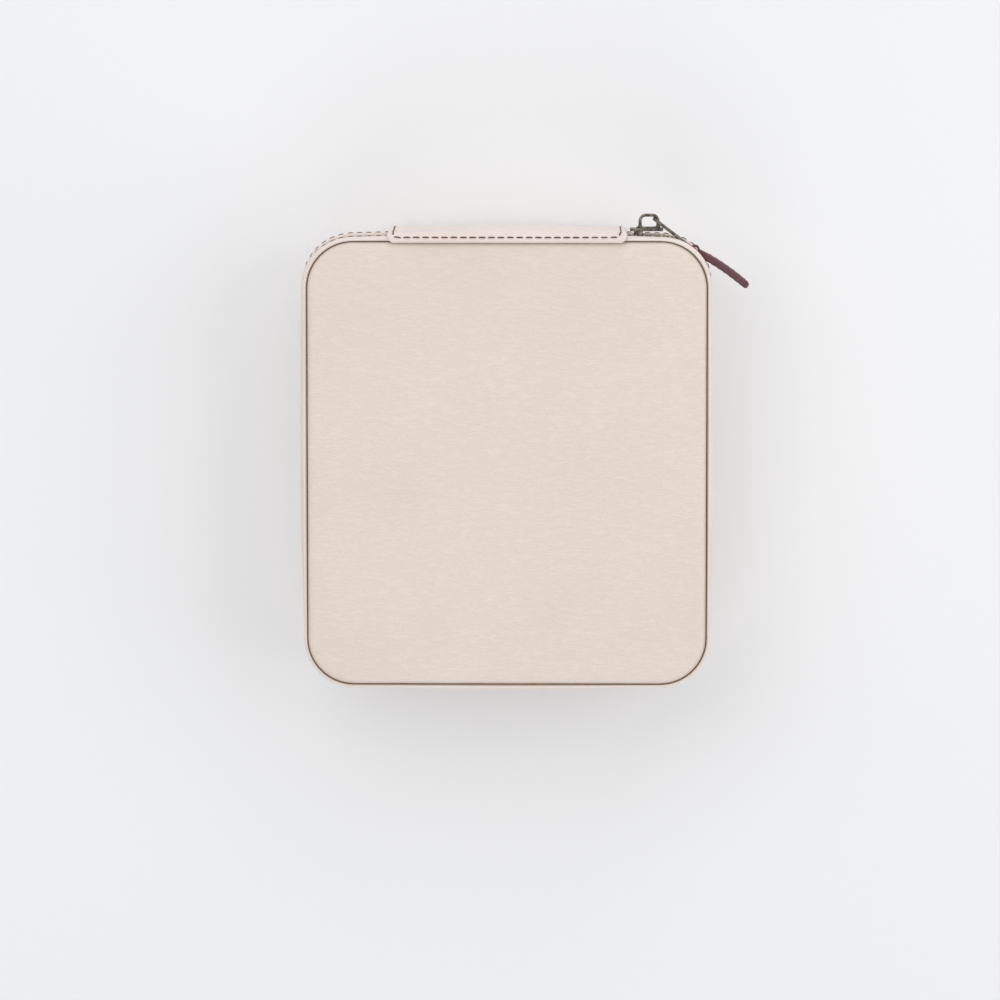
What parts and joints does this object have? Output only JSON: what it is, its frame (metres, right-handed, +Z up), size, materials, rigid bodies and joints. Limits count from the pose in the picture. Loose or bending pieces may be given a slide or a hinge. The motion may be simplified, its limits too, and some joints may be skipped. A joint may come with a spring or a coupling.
{
  "type": "zip-around jewelry case",
  "caption": "Zip-around leather jewelry case with a spine-hinged lid, ring rolls, divided compartments, a lid mirror and a leather zip pull.",
  "frame": {"origin": "centre of the flat bottom face that the closed case rests on", "axes": "+Z up through the lid, +Y to the hinged spine, -Y to the front, +X to the user's right"},
  "size_m": [0.171, 0.1805, 0.052],
  "materials": {
    "cream_leather": "fine pebble grain, semi-matte",
    "burgundy_leather": "smooth, semi-matte, painted edges",
    "board": "raw greyboard",
    "foam": "open foam",
    "suede_lining": "napped microsuede",
    "zip_tape": "woven polyester tape",
    "zip_coil": "nylon coil",
    "antique_metal": "antiqued nickel",
    "mirror": "silvered"
  },
  "bodies": {
    "base": {"base_panel_leather": "cream_leather", "base_panel_foam": "foam", "base_panel_board": "board", "base_wall_leather": "cream_leather", "base_wall_board": "board", "base_lining": "suede_lining", "base_zip_coil": "zip_coil", "base_zip_tape": "zip_tape", "spine_patch_base": "cream_leather", "spine_lining_base": "suede_lining", "zip_end_stops": "antique_metal", "long_divider": "suede_lining", "front_divider": "suede_lining", "back_divider": "suede_lining", "ring_bed": "suede_lining", "ring_roll_1": "suede_lining", "ring_roll_2": "suede_lining", "ring_roll_3": "suede_lining", "ring_roll_4": "suede_lining", "ring_roll_5": "suede_lining"},
    "lid": {"lid_panel_leather": "cream_leather", "lid_panel_foam": "foam", "lid_panel_board": "board", "lid_wall_leather": "cream_leather", "lid_wall_board": "board", "lid_lining": "suede_lining", "lid_zip_coil": "zip_coil", "lid_zip_tape": "zip_tape", "spine_patch_lid": "cream_leather", "spine_lining_lid": "suede_lining", "mirror_rim": "cream_leather", "mirror_glass": "mirror"},
    "slider": {"slider_body": "antique_metal", "slider_bail": "antique_metal"},
    "link": {"puller_link": "antique_metal"},
    "pull": {"pull_tab": "burgundy_leather"}
  },
  "joints": [
    {"name": "lid_hinge", "type": "hinge", "parent": "base", "child": "lid", "pos_m": [0, 0.0895, 0.032], "axis": [-1, 0, 0], "range_deg": [0, 105]},
    {"name": "slider_run", "type": "hinge", "parent": "base", "child": "slider", "pos_m": [0.0525, 0.061, 0.032], "axis": [0, 0, 1], "range_deg": [-90, 0]},
    {"name": "link_swing", "type": "hinge", "parent": "slider", "child": "link", "pos_m": [0.0568, 0.0899, 0.032], "axis": [0, 0, 1], "range_deg": [0, 40]},
    {"name": "pull_lift", "type": "hinge", "parent": "link", "child": "pull", "pos_m": [0.07072, 0.0793, 0.032], "axis": [0, 0, 1], "range_deg": [0, 86]}
  ],
  "couplings": [
    {"joint": "link_swing", "follows": "slider_run", "ratio": -0.4141}
  ]
}
